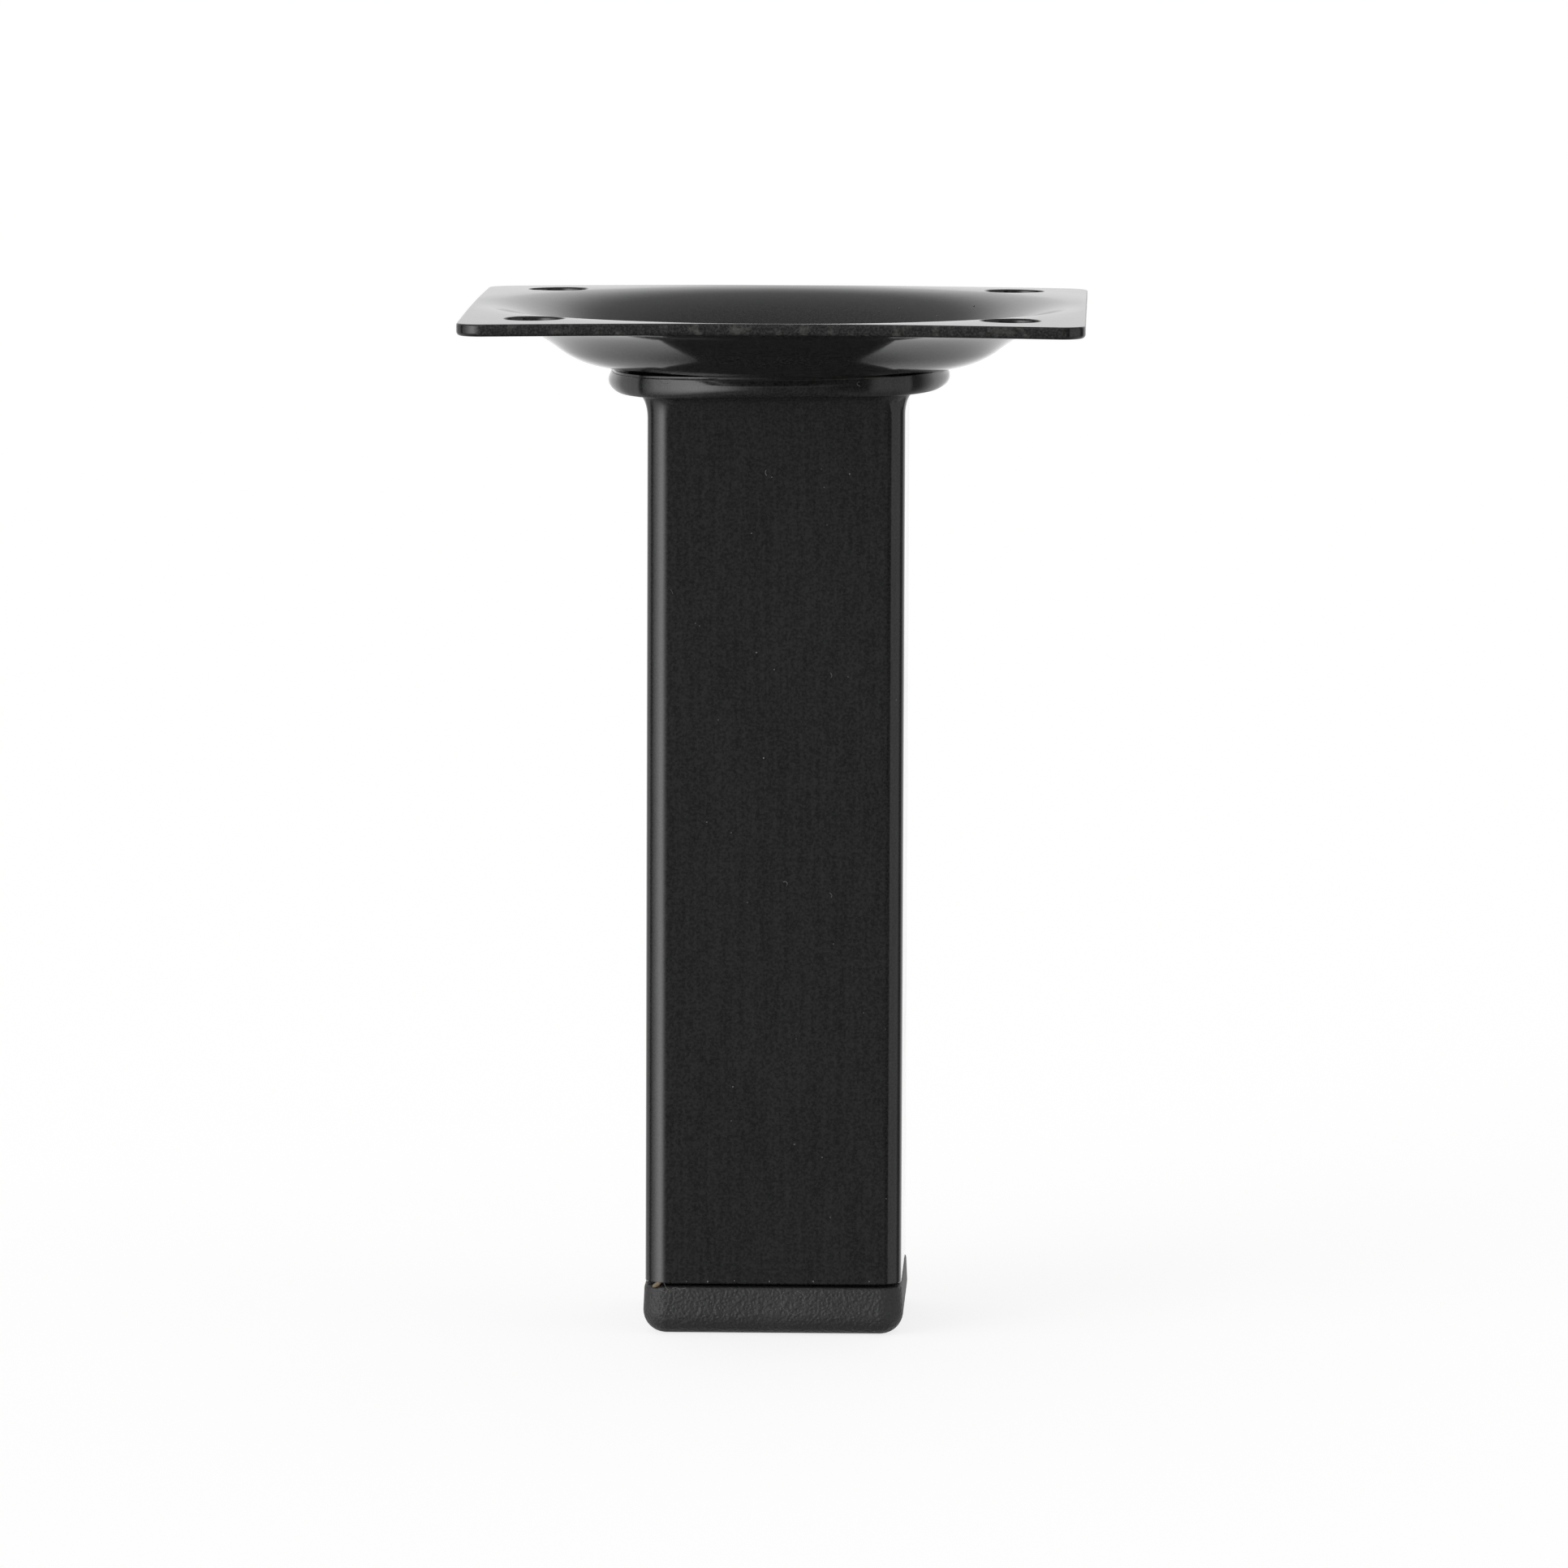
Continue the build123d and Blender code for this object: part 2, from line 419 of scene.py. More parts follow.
# %% [markdown]
# Outside the last circle the outlines turn into squares. Three of them on each
# face, given by half their width and their corner's radius, lead the skin from
# the circle into the corners. As their corners get sharper they get fewer
# points there and more along the sides, so that no face is drawn out long.

# %% Flange and sheared edge
EDGE_UPPER_ROUND = 0.18
EDGE_LOWER_ROUND = 0.38
EDGE_UPPER_START = 60
EDGE_UPPER_STEPS = 3
EDGE_LOWER_STEPS = 6
FLANGE_TOP = [(29.45, 24.0), (29.58, 17.0), (29.7, 10.0)]
FLANGE_UNDER = [(29.55, 10.0), (29.5, 17.0), (29.44, 24.0)]
CORNER_POINTS = {24.0: 20, 17.0: 13, 10.0: 8}
underside = height - sheet
upper_outlines = dish_circles(0)
for number, (half, corner) in enumerate(FLANGE_TOP):
    upper_outlines.append((half, corner, height + number * EASE))
upper_outlines.append((plate_half - EDGE_UPPER_ROUND, plate_corner - EDGE_UPPER_ROUND, height + 3 * EASE))

upper_centre = (-EDGE_UPPER_ROUND, height - EDGE_UPPER_ROUND)
lower_centre = (-EDGE_LOWER_ROUND, underside + EDGE_LOWER_ROUND)
edge_points = bend(upper_centre, EDGE_UPPER_ROUND, EDGE_UPPER_START, 0, EDGE_UPPER_STEPS)
edge_points += bend(lower_centre, EDGE_LOWER_ROUND, 0, -90, EDGE_LOWER_STEPS)
edge_outlines = [(plate_half + out, plate_corner + out, level) for out, level in edge_points]

under_outlines = []
for number, (half, corner) in enumerate(FLANGE_UNDER, 1):
    under_outlines.append((half, corner, underside - number * EASE))
under_outlines += dish_circles(sheet)[::-1]
plate_outlines = upper_outlines + edge_outlines + under_outlines
print("outlines of the plate", len(plate_outlines))

# %% Bridge them, and close the dish's floor above and below
DISH_POINTS = 96
BLANK_CORNER_POINTS = 8


def add_circle(radius, level):
    """Draw a circle whose points face those of the square outlines."""
    bpy.ops.mesh.select_all(action="DESELECT")
    bpy.ops.mesh.primitive_circle_add(
        vertices=DISH_POINTS, radius=radius, location=(0, 0, level), rotation=(0, 0, math.pi / DISH_POINTS)
    )


plate = start_piece("pressed_plate")
for half, corner, level in plate_outlines:
    if half == corner:
        add_circle(half, level)
    else:
        corner_points = CORNER_POINTS.get(corner, BLANK_CORNER_POINTS)
        add_outline(half, corner, level, corner_points, DISH_POINTS // 4 - corner_points)
for inner, outer in zip(plate_outlines, plate_outlines[1:]):
    bridge(inner, outer)
close_outline(plate_outlines[0])
close_outline(plate_outlines[-1])
print("points in the plate", len(bmesh.from_edit_mesh(plate.data).verts))

# %% [markdown]
# Between the last circle and the edge the rim still bends a little, and
# pressing the dish has pulled the flange down towards its corners: a quarter
# of a millimetre, which shows in how the edge bows in the photograph.

# %% Bend the flange and let its corners droop
FLANGE_START = 29.41
DROOP_START = 28.0
DROOP_SLOPE = 0.0188
mesh = bmesh.from_edit_mesh(plate.data)
for vertex in mesh.verts:
    out = math.hypot(vertex.co.x, vertex.co.y)
    if out > FLANGE_START:
        still_bent = max(rim_end - out, 0)
        vertex.co.z = min(max(vertex.co.z, underside), height)
        vertex.co.z += math.sqrt(RIM_BEND ** 2 - still_bent ** 2) - RIM_BEND
    vertex.co.z -= DROOP_SLOPE * max(out - DROOP_START, 0)
bmesh.update_edit_mesh(plate.data)
corner_out = max(math.hypot(vertex.co.x, vertex.co.y) for vertex in mesh.verts)
print("the corners droop by", round(DROOP_SLOPE * (corner_out - DROOP_START), 2), "mm")
bpy.ops.mesh.select_all(action="SELECT")
bpy.ops.mesh.remove_doubles(threshold=CLOSE)
bpy.ops.mesh.normals_make_consistent(inside=False)
bpy.ops.object.mode_set(mode="OBJECT")

# %% [markdown]
# The tube's window and the four screw holes are punched with a cutter and a
# Boolean. The punches for the holes widen at both faces of the sheet, which
# leaves the small round that paint needs, since it never covers a sharp edge.

# %% The cutter for the window
WINDOW_CLEARANCE = 0.1
punch = start_piece("punch")
window = (tube_half + WINDOW_CLEARANCE, tube_corner + WINDOW_CLEARANCE)
window_foot = (*window, dish_underside - sheet)
window_head = (*window, height)
add_outline(*window_foot, BLANK_CORNER_POINTS)
add_outline(*window_head, BLANK_CORNER_POINTS)
bridge(window_foot, window_head)
close_outline(window_foot)
close_outline(window_head)
print("window", round(2 * window[0], 1), "mm wide")

# %% The punches for the holes
HOLE_RADIUS = 2.9
HOLE_INSET = 7.2
HOLE_ROUND = 0.2
HOLE_POINTS = 48
FLARE_STEPS = 3
hole_place = plate_half - HOLE_INSET
hole_top = height - DROOP_SLOPE * (hole_place * math.sqrt(2) - DROOP_START)
lower_centre = (HOLE_RADIUS + HOLE_ROUND, hole_top - sheet + HOLE_ROUND)
upper_centre = (HOLE_RADIUS + HOLE_ROUND, hole_top - HOLE_ROUND)
lower_flare = bend(lower_centre, HOLE_ROUND, 270, 180, FLARE_STEPS)
upper_flare = bend(upper_centre, HOLE_ROUND, 180, 90, FLARE_STEPS)
widest = HOLE_RADIUS + 1.5 * HOLE_ROUND
punch_points = [(widest, hole_top - 2 * sheet)] + lower_flare + upper_flare + [(widest, hole_top + sheet)]


def add_punch(place_x, place_y):
    """Raise one turned punch from a disc, by extruding and resizing it upwards."""
    bpy.ops.mesh.select_all(action="DESELECT")
    radius, level = punch_points[0]
    bpy.ops.mesh.primitive_circle_add(
        vertices=HOLE_POINTS, radius=radius, fill_type="NGON", location=(place_x, place_y, level)
    )
    for next_radius, next_level in punch_points[1:]:
        bpy.ops.mesh.extrude_region_move(TRANSFORM_OT_translate={"value": (0, 0, next_level - level)})
        share = next_radius / radius
        bpy.ops.transform.resize(value=(share, share, 1), center_override=(place_x, place_y, next_level))
        radius, level = next_radius, next_level


for side_x in (-1, 1):
    for side_y in (-1, 1):
        add_punch(side_x * hole_place, side_y * hole_place)
print("holes", 2 * HOLE_RADIUS, "mm wide on a square of", round(2 * hole_place, 1), "mm")

# %% Cut them out of the plate
bpy.ops.mesh.select_all(action="SELECT")
bpy.ops.mesh.normals_make_consistent(inside=False)
bpy.ops.object.mode_set(mode="OBJECT")
bpy.ops.object.select_all(action="DESELECT")
plate.select_set(True)
bpy.context.view_layer.objects.active = plate
bpy.ops.object.modifier_add(type="BOOLEAN")
plate.modifiers[-1].object = punch
plate.modifiers[-1].operation = "DIFFERENCE"
bpy.ops.object.modifier_apply(modifier=plate.modifiers[-1].name)
bpy.data.objects.remove(punch)
bpy.ops.object.mode_set(mode="EDIT")
finish_piece(plate, METAL_SHARP)
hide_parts("mounting_plate")
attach(plate, "root")

# %% [markdown]
# ## The foot cap
#
# A moulded plastic glide: a head a little wider than the tube, with a generous
# round underneath, and a hollow insert whose ribs grip the bore. The head
# narrows by a tenth of a millimetre at its top, and each rib has a slope that
# eases it into the tube. The outlines go up the head and the insert, over its
# end, and down into the hollow.

# %% The cap's outlines
CAP_CORNER = 2.4
CAP_BOTTOM_ROUND = 2.2
CAP_TOP_ROUND = 0.35
CAP_DRAFT = 0.1
CAP_FLOOR = 2.4
CORE_WALL = 1.5
RIB_REACH = 1.0
RIB_LAND = 0.6
RIB_SLOPE = 0.7
RIB_COUNT = 3
LEAD_IN = 1.0
CORE_CORNER = 1.6
CAVITY_CORNER = 0.8
BOTTOM_STEPS = 10
TOP_STEPS = 4
core_half = bore_half - RIB_REACH
cavity_half = core_half - CORE_WALL


def at_cap(inset, up):
    """An outline of the head, drawn in from its widest by a distance."""
    return (cap_half - inset, CAP_CORNER - inset, up)


cap_outlines = []
for out, up in bend((-CAP_BOTTOM_ROUND, CAP_BOTTOM_ROUND), CAP_BOTTOM_ROUND, -90, 0, BOTTOM_STEPS):
    cap_outlines.append(at_cap(-out, up))
top_centre = (-CAP_DRAFT - CAP_TOP_ROUND, cap_head - CAP_TOP_ROUND)
for out, up in bend(top_centre, CAP_TOP_ROUND, 0, 90, TOP_STEPS):
    cap_outlines.append(at_cap(-out, up))
print("outlines of the head", len(cap_outlines))

# %% The insert's outlines
rib_pitch = (insert_top - cap_head - LEAD_IN) / RIB_COUNT
insert = [(core_half, CORE_CORNER, cap_head + EASE)]
for number in range(1, RIB_COUNT + 1):
    foot = cap_head + number * rib_pitch - RIB_LAND - RIB_SLOPE
    insert.append((core_half, CORE_CORNER, foot))
    insert.append((bore_half, CORE_CORNER + RIB_REACH, foot + EASE))
    insert.append((bore_half, CORE_CORNER + RIB_REACH, foot + RIB_LAND))
    if number < RIB_COUNT:
        insert.append((core_half, CORE_CORNER, foot + RIB_LAND + RIB_SLOPE))
insert.append((core_half, CORE_CORNER, insert_top - LEAD_IN))
insert.append((core_half - LEAD_IN, CORE_CORNER - LEAD_IN, insert_top))
insert.append((cavity_half, CAVITY_CORNER, insert_top - EASE))
insert.append((cavity_half, CAVITY_CORNER, CAP_FLOOR))
cap_outlines += insert
print("outlines of the cap", len(cap_outlines))

# %% Bridge them, and close the sole and the hollow's floor
CAP_CORNER_POINTS = 11
PLASTIC_SHARP = 35
cap = start_piece("foot_glide")
for outline in cap_outlines:
    add_outline(*outline, CAP_CORNER_POINTS)
for lower, upper in zip(cap_outlines, cap_outlines[1:]):
    bridge(lower, upper)
close_outline(cap_outlines[0])
close_outline(cap_outlines[-1])
finish_piece(cap, PLASTIC_SHARP)
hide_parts("foot_cap")
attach(cap, "root")

# %% [markdown]
# ## Shader maths
#
# Materials are written as sums. One small class wraps an output of a node, so
# that an expression such as 1 - mask adds the Math nodes by itself. Every other
# node comes from one method. Soft noise seldom leaves the range from 0.3 to 0.7,
# so a pattern that should reach from dark to light is stretched over that range.

# %% A wrapper for sockets
NOISE_RANGE = (0.3, 0.7)


class Wire:
    """One output of a shader node. Sums, differences, products and quotients add Math nodes."""

    def __init__(self, socket):
        self.socket = socket

    def node(self, kind, settings=(), inputs=(), output=0):
        """Add any node: its settings first, then the values or wires of its sockets."""
        tree = self.socket.id_data
        fresh = tree.nodes.new(kind)
        for name, value in dict(settings).items():
            if name == "stops":
                ramp = fresh.color_ramp
                while len(ramp.elements) < len(value):
                    ramp.elements.new(1.0)
                for element, (place, brightness) in zip(ramp.elements, value):
                    element.position = place
                    element.color = (brightness, brightness, brightness, 1)
            else:
                setattr(fresh, name, value)
        for name, value in dict(inputs).items():
            if isinstance(value, Wire):
                tree.links.new(value.socket, fresh.inputs[name])
            else:
                fresh.inputs[name].default_value = value
        return Wire(fresh.outputs[output])

    def sum(self, operation, first, second=0.0):
        """A Math node on one or two values."""
        return self.node("ShaderNodeMath", {"operation": operation}, {0: first, 1: second})

    def __add__(self, other):
        return self.sum("ADD", self, other)

    def __radd__(self, other):
        return self.sum("ADD", other, self)

    def __sub__(self, other):
        return self.sum("SUBTRACT", self, other)

    def __rsub__(self, other):
        return self.sum("SUBTRACT", other, self)

    def __mul__(self, other):
        return self.sum("MULTIPLY", self, other)

    def __rmul__(self, other):
        return self.sum("MULTIPLY", other, self)

    def __truediv__(self, other):
        return self.sum("DIVIDE", self, other)

    def smooth(self, low, high):
        """0 below low, 1 above high, and a soft step between them."""
        return self.node(
            "ShaderNodeMapRange", {"interpolation_type": "SMOOTHSTEP"},
            {"Value": self, "From Min": low, "From Max": high},
        )

    def mix(self, dark, light):
        """A colour between two colours, by this value."""
        return self.node(
            "ShaderNodeMix", {"data_type": "RGBA"}, {0: self, 6: dark, 7: light}, output=2
        )


def new_material(name):
    """A material with one Principled shader; gives the shader and a first wire."""
    material = bpy.data.materials.new(name)
    material.use_nodes = True
    tree = material.node_tree
    shader = tree.nodes["Principled BSDF"]
    place = tree.nodes.new("ShaderNodeTexCoord").outputs["Object"]
    return material, shader, Wire(place)


def plug(shader, name, value):
    """Lead a wire into one socket of a shader."""
    shader.id_data.links.new(value.socket, shader.inputs[name])


def noise(place, scale, detail):
    """Soft noise over a place, with features of about 1 / scale metres."""
    return place.node("ShaderNodeTexNoise", {}, {"Vector": place, "Scale": scale, "Detail": detail})


def part_of(place, axis):
    """One coordinate of a place: 0 across, 1 along, 2 up."""
    return place.node("ShaderNodeSeparateXYZ", {}, {"Vector": place}, output=axis)


def bumped(relief, depth):
    """A surface that stands up by a depth where the relief is 1."""
    return relief.node("ShaderNodeBump", {}, {"Strength": 1.0, "Distance": depth, "Height": relief})


# %% [markdown]
# ## Black powder coat
#
# The powder melts into a thick glossy skin. It is nearly black underneath, and
# its surface is never quite flat: it keeps a faint orange peel, a millimetre
# or two from crest to crest, and a much finer grain. Under a strong light the
# grain and faint upright streaks show as slightly lighter black. Dust has
# settled on the plate's sheared edge, where a painted highlight also lightens
# its rounded upper corner. Along the top of the bead, where it meets the dish,
# a thin light line is a painted highlight, and a few specks of dust lie
# everywhere.

# %% Dust and painted highlights in two places
SEAM_RISE = 0.86
SEAM_LINE = (0.05 * MM, 0.14 * MM)
SEAM_SPAN = (13.5 * MM, 14.0 * MM)
# The share of the light colour that paints the highlight along the bead's top.
SEAM_PAINTED_HIGHLIGHT = 0.12
EDGE_BAND = ((plate_half - 0.12) * MM, (plate_half - 0.04) * MM)
EDGE_PATCH_SCALE = 800
EDGE_PATCHES = 0.2
EDGE_GRAIN = 0.08
EDGE_ROUGHER = 0.12
# The colour of dust, which also paints the highlights on the edge and along the bead's top.
DUST_AND_HIGHLIGHT_COLOUR = (0.30, 0.31, 0.28, 1)


def farthest_out(place):
    """How far a place is from the axis, measured square to the sides."""
    across = place.sum("ABSOLUTE", part_of(place, 0))
    along = place.sum("ABSOLUTE", part_of(place, 1))
    return place.sum("MAXIMUM", across, along)


def on_edge(place):
    """1 on the plate's sheared edge, 0 elsewhere."""
    return farthest_out(place).smooth(*EDGE_BAND)


def edge_dust_and_painted_highlight(place, grain):
    """How much dust covers the sheared edge, in patches, together with a painted highlight on its rounded
    upper corner.
    """
    patches = noise(place, EDGE_PATCH_SCALE, 5)
    # The dust colour here also paints the highlight on the edge's rounded upper corner.
    return on_edge(place) * (patches.smooth(0.5, 0.72) * EDGE_PATCHES + grain.smooth(0.4, 0.75) * EDGE_GRAIN)


def painted_seam_highlight(place):
    """How much painted highlight lightens a thin line along the top of the bead, which leans with it."""
    seam_level = (BEAD_MIDDLE + SEAM_RISE) * MM + part_of(place, 0) * math.tan(math.radians(BEAD_LEAN))
    near_seam = 1 - place.sum("ABSOLUTE", part_of(place, 2) - seam_level).smooth(*SEAM_LINE)
    return near_seam * farthest_out(place).smooth(*SEAM_SPAN) * SEAM_PAINTED_HIGHLIGHT


# %% The coating
PEEL_SCALE = 550
GRAIN_SCALE = 4600
STREAK_SCALE = 2600
STREAK_STRETCH = (1, 1, 0.06)
CLOUD_SCALE = 90
SPECK_SCALE = 420
SPECK_EDGE = (0.02, 0.045)
SPECK_CHANCE = (0.78, 0.86)
SPECK_DUST = 0.5
GRAIN_SHARE = 0.75
DEEP_BLACK = (0.01, 0.01, 0.0101, 1)
LIGHT_BLACK = (0.034, 0.034, 0.0343, 1)
COAT_ROUGHNESS = 0.08
CLOUD_ROUGHER = 0.05
SPECK_ROUGHER = 0.4
GRAIN_RELIEF = 0.12
COAT_RELIEF = 0.004 * MM


def scattered_specks(place):
    """1 on the few small specks of dust, 0 elsewhere."""
    cell = {"Vector": place, "Scale": SPECK_SCALE, "Randomness": 1}
    distance = place.node("ShaderNodeTexVoronoi", {}, cell)
    chance = place.node("ShaderNodeTexVoronoi", {}, cell, output=1)
    return (1 - distance.smooth(*SPECK_EDGE)) * chance.smooth(*SPECK_CHANCE)


def coating(name, dust_and_highlight_place):
    """Glossy black paint with orange peel, fine grain, faint streaks, dust, and painted highlights on the
    edge and along the bead's top.
    """
    material, shader, place = new_material(name)
    grain = noise(place, GRAIN_SCALE, 2)
    drawn_out = place.node("ShaderNodeMapping", {}, {"Vector": place, "Scale": STREAK_STRETCH})
    streaks = noise(drawn_out, STREAK_SCALE, 2)
    texture = grain.smooth(*NOISE_RANGE) * GRAIN_SHARE + streaks.smooth(*NOISE_RANGE) * (1 - GRAIN_SHARE)
    black = texture.mix(DEEP_BLACK, LIGHT_BLACK)
    speck = scattered_specks(place)
    rough = COAT_ROUGHNESS + noise(place, CLOUD_SCALE, 3) * CLOUD_ROUGHER + speck * SPECK_ROUGHER
    if dust_and_highlight_place == "edge":
        dust_and_painted_highlight = edge_dust_and_painted_highlight(place, grain)
        rough = rough + on_edge(place) * EDGE_ROUGHER
    else:
        dust_and_painted_highlight = painted_seam_highlight(place)
    # The light colour stands for dust on the specks, dust and a painted highlight on the edge, and a painted
    # highlight along the bead's top.
    dust_and_highlight_share = place.sum("MAXIMUM", speck * SPECK_DUST, dust_and_painted_highlight)
    plug(shader, "Base Color", dust_and_highlight_share.mix(black, DUST_AND_HIGHLIGHT_COLOUR))
    plug(shader, "Roughness", rough)
    plug(shader, "Normal", bumped(noise(place, PEEL_SCALE, 1.5) + grain * GRAIN_RELIEF, COAT_RELIEF))
    return material


tube.data.materials.append(coating("black_powder_coat_tube", "seam"))
plate.data.materials.append(coating("black_powder_coat_plate", "edge"))
print("nodes in the coating", len(tube.data.materials[0].node_tree.nodes))

# %% [markdown]
# ## Moulded plastic
#
# The glide is matt, a dark grey rather than black, with the fine leather-like
# grain that the mould was etched with.

# %% The plastic
LEATHER_SCALE = 3300
FINE_SCALE = 5200
SHADE_SCALE = 260
DARK_GREY = (0.021, 0.021, 0.0213, 1)
PALE_GREY = (0.062, 0.062, 0.0625, 1)
SHADE_SHARE = 0.6
PLASTIC_ROUGHNESS = 0.42
FINE_ROUGHER = 0.2
FINE_RELIEF = 0.6
PLASTIC_RELIEF = 0.11 * MM


def moulded_plastic(name):
    """Matt dark grey plastic with a mould grain."""
    material, shader, place = new_material(name)
    cells = place.node(
        "ShaderNodeTexVoronoi", {"feature": "SMOOTH_F1"}, {"Vector": place, "Scale": LEATHER_SCALE}
    )
    fine = noise(place, FINE_SCALE, 2)
    shades = noise(place, SHADE_SCALE, 3)
    plug(shader, "Base Color", (shades * SHADE_SHARE + fine * (1 - SHADE_SHARE)).mix(DARK_GREY, PALE_GREY))
    plug(shader, "Roughness", PLASTIC_ROUGHNESS + fine * FINE_ROUGHER)
    plug(shader, "Normal", bumped(cells + fine * FINE_RELIEF, PLASTIC_RELIEF))
    return material


cap.data.materials.append(moulded_plastic("moulded_plastic"))
print("nodes in the plastic", len(cap.data.materials[0].node_tree.nodes))

# %% [markdown]
# ## The stage
#
# A pale floor without a seam. The camera sees it as white where nothing shades
# it, and it keeps the leg's shadow. Glossy reflections pass through it, so that
# the coating shows the room below the horizon as well.

# %% The floor
bpy.ops.object.select_all(action="DESELECT")
FLOOR_SIZE = 16
FLOOR_DROP = 0.02 * MM
WHITE_LIFT = 0.78
FLOOR_LIT = (0.8, 0.8, 0.8, 1)
FLOOR_SEEN = (0.4, 0.4, 0.4, 1)
BLACK = (0, 0, 0, 1)
bpy.ops.mesh.primitive_grid_add(
    x_subdivisions=2, y_subdivisions=2, size=FLOOR_SIZE, location=(0, 0, -FLOOR_DROP)
)
floor = bpy.context.active_object
floor.name = "floor"
bpy.ops.object.transform_apply(location=True, rotation=True, scale=True)

floor_material, floor_shader, floor_place = new_material("pale_floor")
floor_shader.inputs["Roughness"].default_value = 0.9
floor_shader.inputs["Specular IOR Level"].default_value = 0.1
floor_tree = floor_material.node_tree
light_path = floor_tree.nodes.new("ShaderNodeLightPath")
seen_by_camera = Wire(light_path.outputs["Is Camera Ray"])
seen_in_gloss = Wire(light_path.outputs["Is Glossy Ray"])
plug(floor_shader, "Base Color", seen_by_camera.mix(FLOOR_LIT, FLOOR_SEEN))
white = seen_by_camera.mix(BLACK, (WHITE_LIFT, WHITE_LIFT, WHITE_LIFT, 1))
lift = floor_place.node("ShaderNodeEmission", {}, {"Color": white, "Strength": 1})
paint = Wire(floor_shader.outputs["BSDF"])
lifted = floor_place.node("ShaderNodeAddShader", {}, {0: paint, 1: lift})
clear = floor_place.node("ShaderNodeBsdfTransparent")
floor_surface = floor_place.node("ShaderNodeMixShader", {}, {0: seen_in_gloss, 1: lifted, 2: clear})
floor_tree.links.new(floor_surface.socket, floor_tree.nodes["Material Output"].inputs["Surface"])
floor.data.materials.append(floor_material)
print("floor nodes", len(floor_tree.nodes))

# %% [markdown]
# ## The light
#
# Glossy black shows the room, so the room is drawn: a large soft window of
# light on the left, a smaller pale card on the right, white behind and around
# the leg, and a darker room in front, where the camera stands. The world's
# brightness goes by direction. The camera itself sees plain white.

# %% Directions in the room
ROOM_PEAK = 4.6
world = bpy.data.worlds.new("studio")
bpy.context.scene.world = world
world.use_nodes = True
sky = world.node_tree
background = sky.nodes["Background"]
look = Wire(sky.nodes.new("ShaderNodeTexCoord").outputs["Generated"])
east = part_of(look, 0)
north = part_of(look, 1)
up = part_of(look, 2)
turn = look.sum("ARCTAN2", -1 * east, -1 * north) / math.tau + 0.5


def by_direction(angles):
    """Brightness around the leg, from pairs of degrees left of the camera and brightness."""
    stops = [((angle + 180) / 360, brightness / ROOM_PEAK) for angle, brightness in angles]
    return turn.node("ShaderNodeValToRGB", {"stops": stops}, {"Fac": turn}) * ROOM_PEAK


# %% [markdown]
# Level with the leg, the window is the peak about 40 degrees to the left of the
# camera, and the card is the plateau on the right. Towards the floor the room
# gets plainer, and straight up and down it has one brightness each. A little
# more light comes from above the horizon in front and from below it behind.
# Each change is spread over a range of heights, where -1 is straight down, 0
# is the horizon and 1 is straight up.

# %% The room's brightness
OVERHEAD = 0.4
OVERHEAD_HEIGHTS = (0.3, 0.62)
FRONT_HEIGHTS = (0.02, 0.2)
BACK_HEIGHTS = (-0.06, 0.0)
LOW_HEIGHTS = (-0.6, -0.1)
UNDERFOOT_HEIGHTS = (-0.98, -0.7)
UNDERFOOT = 0.09
level_room = by_direction([
    (-180, 0.95), (-140, 0.9), (-122, 0.1), (-112, 0.1), (-97, 0.65), (-50, 0.75),
    (-45, 0.06), (-32, 0.06), (-28, 0.12), (-24, 0.17), (6, 0.17), (9, 0.25), (14, 0.5),
    (20, 1.1), (27, 2.3), (34, 3.4), (42, 3.8), (52, 3.3), (60, 2.6), (72, 1.65), (80, 1.2),
    (92, 0.5), (98, 0.1), (106, 0.1), (116, 0.65), (138, 0.5), (150, 0.9), (180, 0.95),
])
low_room = by_direction([
    (-180, 0.75), (-110, 0.7), (-90, 0.45), (-60, 0.35), (-30, 0.18), (8, 0.18), (20, 0.3),
    (45, 0.4), (90, 0.5), (110, 0.7), (180, 0.75),
])
front_room = by_direction([(-180, 0), (-40, 0), (-28, 0.15), (12, 0.15), (25, 0), (180, 0)])
back_room = by_direction([(-180, 0.35), (-166, 0), (166, 0), (180, 0.35)])
lowered = 1 - up.smooth(*LOW_HEIGHTS)
straight_down = 1 - up.smooth(*UNDERFOOT_HEIGHTS)
high = up.smooth(*OVERHEAD_HEIGHTS)
level_light = level_room + front_room * up.smooth(*FRONT_HEIGHTS) + back_room * (1 - up.smooth(*BACK_HEIGHTS))
below = low_room * (1 - straight_down) + straight_down * UNDERFOOT
above = level_light * (1 - high) + high * OVERHEAD
room_light = above * (1 - lowered) + below * lowered
camera_ray = Wire(sky.nodes.new("ShaderNodeLightPath").outputs["Is Camera Ray"])
strength = room_light * (1 - camera_ray) + camera_ray
sky.links.new(strength.socket, background.inputs["Strength"])
background.inputs["Color"].default_value = (1, 1, 1, 1)
print("world nodes", len(sky.nodes))

# %% [markdown]
# ## The camera
#
# The photograph was taken with a long lens from about a metre away, a little
# above the plate. The place and the angles come from fitting the plate's
# corners, its holes and the tube's edges to the picture.

# %% The camera
IMAGE_SIZE = 1932
FOCAL_PIXELS = 13752
camera_place = Vector((32.9, -1088.7, 169.4)) * MM
yaw = math.radians(-1.70)
pitch = math.radians(6.111)
roll = math.radians(0.177)
forward_axis = Vector((math.sin(yaw) * math.cos(pitch), math.cos(yaw) * math.cos(pitch), -math.sin(pitch)))
level_right = Vector((math.cos(yaw), -math.sin(yaw), 0))
level_up = level_right.cross(forward_axis)
right_axis = math.cos(roll) * level_right + math.sin(roll) * level_up
up_axis = -math.sin(roll) * level_right + math.cos(roll) * level_up

